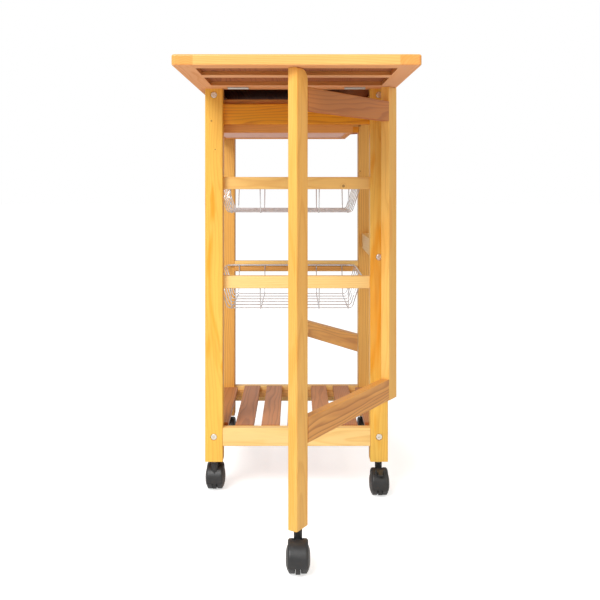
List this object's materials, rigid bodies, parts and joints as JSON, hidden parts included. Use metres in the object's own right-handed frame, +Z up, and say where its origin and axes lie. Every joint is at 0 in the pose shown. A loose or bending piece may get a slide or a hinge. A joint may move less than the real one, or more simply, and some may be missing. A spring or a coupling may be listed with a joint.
{
  "type": "kitchen trolley table",
  "caption": "Rolling pine kitchen table with a framed top, two raised drop leaves on hinged gate legs, a drawer, two sliding wire baskets, a slatted shelf and twin-wheel castors.",
  "frame": {"origin": "centre of the footprint, on the floor under the castors", "axes": "+Z up, +Y along the top from the front leaf to the rear leaf, +X from the open side with the drawer to the back"},
  "size_m": [0.37, 0.9914, 0.77],
  "materials": {
    "leg_pine": "satin lacquered pine",
    "apron_pine": "satin lacquered pine",
    "upper_rail_pine": "satin lacquered pine",
    "lower_rail_pine": "satin lacquered pine",
    "rail_pine": "satin lacquered pine",
    "slat_pine": "satin lacquered pine",
    "top_pine": "satin lacquered pine",
    "board_pine": "satin lacquered pine",
    "gate_pine": "satin lacquered pine",
    "gate_rail_pine": "satin lacquered pine",
    "drawer_pine": "satin lacquered pine",
    "drawer_floor_ply": "smooth plywood",
    "runner_pine": "satin lacquered pine",
    "zinc_steel": "bright zinc plated",
    "bolt_steel": "yellowish zinc plated",
    "chrome_wire": "bright chrome plated wire",
    "castor_plastic": "fine textured black nylon",
    "wheel_plastic": "semi-gloss black nylon"
  },
  "bodies": {
    "frame": {"leg_front_left": "leg_pine", "leg_front_right": "leg_pine", "leg_rear_left": "leg_pine", "leg_rear_right": "leg_pine", "drawer_aprons": "apron_pine", "upper_basket_rails": "upper_rail_pine", "lower_basket_rails": "lower_rail_pine", "bottom_end_rails": "rail_pine", "bottom_side_rails": "rail_pine", "back_rails": "rail_pine", "drawer_top_rail": "rail_pine", "shelf_slats": "slat_pine", "shelf_ledgers": "runner_pine", "drawer_runners": "runner_pine", "basket_runners": "runner_pine", "top_frame": "top_pine", "top_boards": "board_pine", "frame_bolts": "bolt_steel", "barrel_nuts": "zinc_steel", "top_hinge_plates": "zinc_steel", "leg_hinge_plates": "zinc_steel", "castor_stems": "zinc_steel"},
    "front_leaf": {"front_leaf_frame": "top_pine", "front_leaf_boards": "board_pine", "front_leaf_hinge_plates": "zinc_steel"},
    "front_gate": {"front_gate_stile": "gate_pine", "front_gate_outer_leg": "gate_pine", "front_gate_rails": "gate_rail_pine", "front_gate_hinge_plates": "zinc_steel", "front_gate_castor_stem": "zinc_steel"},
    "rear_leaf": {"rear_leaf_frame": "top_pine", "rear_leaf_boards": "board_pine", "rear_leaf_hinge_plates": "zinc_steel"},
    "rear_gate": {"rear_gate_stile": "gate_pine", "rear_gate_outer_leg": "gate_pine", "rear_gate_rails": "gate_rail_pine", "rear_gate_hinge_plates": "zinc_steel", "rear_gate_castor_stem": "zinc_steel"},
    "drawer": {"drawer_front": "drawer_pine", "drawer_box": "drawer_pine", "drawer_knob": "drawer_pine", "drawer_floor": "drawer_floor_ply"},
    "upper_basket": {"upper_basket_rim": "chrome_wire", "upper_basket_wires": "chrome_wire"},
    "lower_basket": {"lower_basket_rim": "chrome_wire", "lower_basket_wires": "chrome_wire"},
    "castor_front_left": {"castor_front_left_hood": "castor_plastic"},
    "castor_front_left_wheels": {"castor_front_left_wheels": "wheel_plastic"},
    "castor_front_right": {"castor_front_right_hood": "castor_plastic"},
    "castor_front_right_wheels": {"castor_front_right_wheels": "wheel_plastic"},
    "castor_front_right_brake": {"castor_front_right_brake": "castor_plastic"},
    "castor_rear_left": {"castor_rear_left_hood": "castor_plastic"},
    "castor_rear_left_wheels": {"castor_rear_left_wheels": "wheel_plastic"},
    "castor_rear_right": {"castor_rear_right_hood": "castor_plastic"},
    "castor_rear_right_wheels": {"castor_rear_right_wheels": "wheel_plastic"},
    "castor_rear_right_brake": {"castor_rear_right_brake": "castor_plastic"},
    "castor_front_gate": {"castor_front_gate_hood": "castor_plastic"},
    "castor_front_gate_wheels": {"castor_front_gate_wheels": "wheel_plastic"},
    "castor_rear_gate": {"castor_rear_gate_hood": "castor_plastic"},
    "castor_rear_gate_wheels": {"castor_rear_gate_wheels": "wheel_plastic"}
  },
  "joints": [
    {"name": "front_leaf_lift", "type": "hinge", "parent": "frame", "child": "front_leaf", "pos_m": [0, -0.182, 0.752], "axis": [-1, 0, 0], "range_deg": [0, 4]},
    {"name": "rear_leaf_lift", "type": "hinge", "parent": "frame", "child": "rear_leaf", "pos_m": [0, 0.182, 0.752], "axis": [1, 0, 0], "range_deg": [0, 4]},
    {"name": "front_gate_swing", "type": "hinge", "parent": "frame", "child": "front_gate", "pos_m": [0.171, -0.1655, 0.4], "axis": [0, 0, 1], "range_deg": [-47, 31.9]},
    {"name": "rear_gate_swing", "type": "hinge", "parent": "frame", "child": "rear_gate", "pos_m": [0.171, 0.1655, 0.4], "axis": [0, 0, -1], "range_deg": [-47, 31.9]},
    {"name": "drawer_slide", "type": "slide", "parent": "frame", "child": "drawer", "axis": [-1, 0, 0], "range_m": [0, 0.2]},
    {"name": "upper_basket_slide", "type": "slide", "parent": "frame", "child": "upper_basket", "axis": [-1, 0, 0], "range_m": [0, 0.2]},
    {"name": "lower_basket_slide", "type": "slide", "parent": "frame", "child": "lower_basket", "axis": [-1, 0, 0], "range_m": [0, 0.2]},
    {"name": "castor_front_left_swivel", "type": "hinge", "parent": "frame", "child": "castor_front_left", "pos_m": [-0.1535, -0.1485, 0.05], "axis": [0, 0, 1], "continuous": true},
    {"name": "castor_front_left_roll", "type": "hinge", "parent": "castor_front_left", "child": "castor_front_left_wheels", "pos_m": [-0.1535, -0.1325, 0.022], "axis": [-1, 0, 0], "continuous": true},
    {"name": "castor_front_right_swivel", "type": "hinge", "parent": "frame", "child": "castor_front_right", "pos_m": [0.1535, -0.1485, 0.05], "axis": [0, 0, 1], "continuous": true},
    {"name": "castor_front_right_roll", "type": "hinge", "parent": "castor_front_right", "child": "castor_front_right_wheels", "pos_m": [0.1535, -0.1645, 0.022], "axis": [1, 0, 0], "continuous": true},
    {"name": "castor_front_right_brake_press", "type": "hinge", "parent": "castor_front_right", "child": "castor_front_right_brake", "pos_m": [0.1535, -0.18, 0.0476], "axis": [1, 0, 0], "range_deg": [0, 12]},
    {"name": "castor_rear_left_swivel", "type": "hinge", "parent": "frame", "child": "castor_rear_left", "pos_m": [-0.1535, 0.1485, 0.05], "axis": [0, 0, 1], "continuous": true},
    {"name": "castor_rear_left_roll", "type": "hinge", "parent": "castor_rear_left", "child": "castor_rear_left_wheels", "pos_m": [-0.1535, 0.1645, 0.022], "axis": [-1, 0, 0], "continuous": true},
    {"name": "castor_rear_right_swivel", "type": "hinge", "parent": "frame", "child": "castor_rear_right", "pos_m": [0.1535, 0.1485, 0.05], "axis": [0, 0, 1], "continuous": true},
    {"name": "castor_rear_right_roll", "type": "hinge", "parent": "castor_rear_right", "child": "castor_rear_right_wheels", "pos_m": [0.1535, 0.1645, 0.022], "axis": [-1, 0, 0], "continuous": true},
    {"name": "castor_rear_right_brake_press", "type": "hinge", "parent": "castor_rear_right", "child": "castor_rear_right_brake", "pos_m": [0.1535, 0.18, 0.0476], "axis": [-1, 0, 0], "range_deg": [0, 12]},
    {"name": "castor_front_gate_swivel", "type": "hinge", "parent": "front_gate", "child": "castor_front_gate", "pos_m": [0.00219, -0.45326, 0.05], "axis": [0, 0, 1], "continuous": true},
    {"name": "castor_front_gate_roll", "type": "hinge", "parent": "castor_front_gate", "child": "castor_front_gate_wheels", "pos_m": [0.00219, -0.46926, 0.022], "axis": [1, 0, 0], "continuous": true},
    {"name": "castor_rear_gate_swivel", "type": "hinge", "parent": "rear_gate", "child": "castor_rear_gate", "pos_m": [0.00219, 0.45326, 0.05], "axis": [0, 0, 1], "continuous": true},
    {"name": "castor_rear_gate_roll", "type": "hinge", "parent": "castor_rear_gate", "child": "castor_rear_gate_wheels", "pos_m": [0.00219, 0.46926, 0.022], "axis": [-1, 0, 0], "continuous": true}
  ]
}
